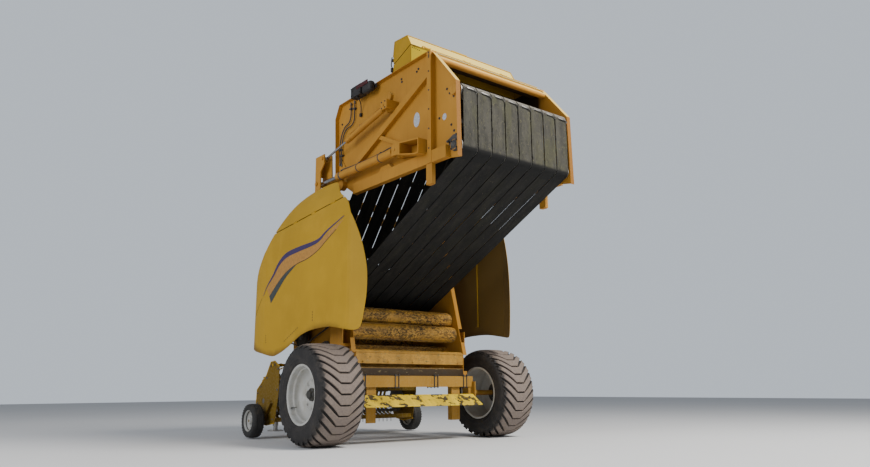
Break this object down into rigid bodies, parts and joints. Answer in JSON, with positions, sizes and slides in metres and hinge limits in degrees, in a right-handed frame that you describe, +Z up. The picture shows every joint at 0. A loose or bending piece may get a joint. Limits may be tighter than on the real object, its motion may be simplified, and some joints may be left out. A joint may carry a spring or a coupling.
{
  "type": "round baler",
  "caption": "Towed round hay baler with its tailgate raised: belt chamber, pickup, flared side shields, triangular drawbar with clevis hitch, driveline and screw jack.",
  "frame": {"origin": "on the ground under the middle of the overall outline", "axes": "+X forward to the hitch, +Y to the left of the machine, +Z up"},
  "size_m": [5.1585, 2.84, 4.262],
  "materials": {
    "ochre_paint": "aged ochre orange paint, dusty",
    "yellow_paint": "golden yellow paint, light dust",
    "dark_paint": "black painted steel",
    "bare_steel": "worn bright steel",
    "rod_chrome": "polished cylinder rod",
    "white_paint": "off-white wheel paint, dusty",
    "tyre_rubber": "dusty tyre rubber",
    "belt_rubber": "ribbed belt rubber, grey-brown dust",
    "guard_plastic": "black driveline guard",
    "lamp_plastic": "red lamp lens in a black bracket"
  },
  "bodies": {
    "frame": {"side_wall_left": "ochre_paint", "side_wall_right": "ochre_paint", "frame_cross_members": "ochre_paint", "front_panel": "yellow_paint", "axle_beam": "ochre_paint", "chamber_rolls": "bare_steel", "front_belt_roller": "bare_steel", "tongue": "ochre_paint", "hitch_clevis": "dark_paint", "jack_tube": "dark_paint", "gearbox": "dark_paint", "pto_shaft": "guard_plastic", "chain_drive": "bare_steel", "side_cap_left": "yellow_paint", "side_cap_right": "yellow_paint"},
    "jack leg": {"jack_leg": "bare_steel"},
    "wheel left": {"tyre_left": "tyre_rubber", "rim_left": "white_paint"},
    "wheel right": {"tyre_right": "tyre_rubber", "rim_right": "white_paint"},
    "pickup": {"pickup_frame": "yellow_paint", "stripper_bands": "yellow_paint"},
    "reel": {"pickup_reel": "dark_paint"},
    "wind guard": {"wind_guard": "yellow_paint"},
    "gauge wheel left": {"gauge_wheel_left": "tyre_rubber"},
    "gauge wheel right": {"gauge_wheel_right": "tyre_rubber"},
    "shield left": {"side_shield_left": "yellow_paint"},
    "shield right": {"side_shield_right": "yellow_paint"},
    "ramp": {"bale_ramp": "yellow_paint"},
    "tailgate": {"gate_wall_left": "ochre_paint", "gate_wall_right": "ochre_paint", "gate_cross_members": "ochre_paint", "gate_rollers": "bare_steel", "gate_belts": "belt_rubber", "chamber_belts": "belt_rubber", "net_box": "ochre_paint", "tail_lamps": "lamp_plastic"},
    "net lid": {"net_lid": "yellow_paint"},
    "lift barrel left": {"lift_barrel_left": "yellow_paint"},
    "lift rod left": {"lift_rod_left": "rod_chrome"},
    "tension barrel left": {"tension_barrel_left": "yellow_paint"},
    "tension rod left": {"tension_rod_left": "rod_chrome"},
    "lift barrel right": {"lift_barrel_right": "yellow_paint"},
    "lift rod right": {"lift_rod_right": "rod_chrome"},
    "tension barrel right": {"tension_barrel_right": "yellow_paint"},
    "tension rod right": {"tension_rod_right": "rod_chrome"}
  },
  "joints": [
    {"name": "tailgate", "type": "hinge", "parent": "frame", "child": "tailgate", "pos_m": [-0.4885, 0, 2.86], "axis": [0, -1, 0], "range_deg": [0, 75], "deforming": ["chamber_belts"]},
    {"name": "net lid", "type": "hinge", "parent": "tailgate", "child": "net lid", "pos_m": [-1.8085, 0, 4.097], "axis": [0, -1, 0], "range_deg": [0, 70]},
    {"name": "wheel left", "type": "hinge", "parent": "frame", "child": "wheel left", "pos_m": [-0.8185, 1.2, 0.511], "axis": [0, 1, 0], "continuous": true},
    {"name": "wheel right", "type": "hinge", "parent": "frame", "child": "wheel right", "pos_m": [-0.8185, -1.2, 0.511], "axis": [0, 1, 0], "continuous": true},
    {"name": "pickup lift", "type": "hinge", "parent": "frame", "child": "pickup", "pos_m": [0.5115, 0, 0.79], "axis": [0, -1, 0], "range_deg": [0, 12]},
    {"name": "reel", "type": "hinge", "parent": "pickup", "child": "reel", "pos_m": [0.8815, 0, 0.43], "axis": [0, 1, 0], "continuous": true},
    {"name": "wind guard", "type": "hinge", "parent": "pickup", "child": "wind guard", "pos_m": [0.6615, 0, 0.85], "axis": [0, -1, 0], "range_deg": [0, 10]},
    {"name": "gauge wheel left", "type": "hinge", "parent": "pickup", "child": "gauge wheel left", "pos_m": [0.8215, 1.15, 0.205], "axis": [0, 1, 0], "continuous": true},
    {"name": "gauge wheel right", "type": "hinge", "parent": "pickup", "child": "gauge wheel right", "pos_m": [0.8215, -1.15, 0.205], "axis": [0, 1, 0], "continuous": true},
    {"name": "shield left", "type": "hinge", "parent": "frame", "child": "shield left", "pos_m": [0.0815, 1.06085, 2.4795], "axis": [0.9962, 0.0214, -0.0847], "range_deg": [0, 70]},
    {"name": "shield right", "type": "hinge", "parent": "frame", "child": "shield right", "pos_m": [0.0815, -1.06085, 2.4795], "axis": [-0.9962, 0.0214, 0.0847], "range_deg": [0, 70]},
    {"name": "jack leg", "type": "slide", "parent": "frame", "child": "jack leg", "axis": [0, 0, 1], "range_m": [0, 0.3]},
    {"name": "ramp", "type": "hinge", "parent": "frame", "child": "ramp", "pos_m": [-0.8935, 0, 0.43], "axis": [0, -1, 0], "range_deg": [-15, 20]},
    {"name": "lift barrel left", "type": "hinge", "parent": "tailgate", "child": "lift barrel left", "pos_m": [-1.7115, 0.86, 2.919], "axis": [0, -1, 0], "range_deg": [-20, 2]},
    {"name": "lift rod left", "type": "slide", "parent": "lift barrel left", "child": "lift rod left", "axis": [1, 0, 0.0069], "range_m": [-0.16, 0.02]},
    {"name": "tension barrel left", "type": "hinge", "parent": "tailgate", "child": "tension barrel left", "pos_m": [-1.5075, 0.86, 3.465], "axis": [0, -1, 0], "range_deg": [-20, 2]},
    {"name": "tension rod left", "type": "slide", "parent": "tension barrel left", "child": "tension rod left", "axis": [0.981, 0, -0.194], "range_m": [-0.02, 0.4]},
    {"name": "lift barrel right", "type": "hinge", "parent": "tailgate", "child": "lift barrel right", "pos_m": [-1.7115, -0.86, 2.919], "axis": [0, -1, 0], "range_deg": [-20, 2]},
    {"name": "lift rod right", "type": "slide", "parent": "lift barrel right", "child": "lift rod right", "axis": [1, 0, 0.0069], "range_m": [-0.16, 0.02]},
    {"name": "tension barrel right", "type": "hinge", "parent": "tailgate", "child": "tension barrel right", "pos_m": [-1.5075, -0.86, 3.465], "axis": [0, -1, 0], "range_deg": [-20, 2]},
    {"name": "tension rod right", "type": "slide", "parent": "tension barrel right", "child": "tension rod right", "axis": [0.981, 0, -0.194], "range_m": [-0.02, 0.4]}
  ],
  "couplings": [
    {"joint": "lift barrel left", "follows": "tailgate", "ratio": -0.2261},
    {"joint": "lift rod left", "follows": "tailgate", "m_per_rad": -0.08578},
    {"joint": "tension barrel left", "follows": "tailgate", "ratio": -0.2086},
    {"joint": "tension rod left", "follows": "tailgate", "m_per_rad": 0.27256},
    {"joint": "lift barrel right", "follows": "tailgate", "ratio": -0.2261},
    {"joint": "lift rod right", "follows": "tailgate", "m_per_rad": -0.08578},
    {"joint": "tension barrel right", "follows": "tailgate", "ratio": -0.2086},
    {"joint": "tension rod right", "follows": "tailgate", "m_per_rad": 0.27256}
  ]
}
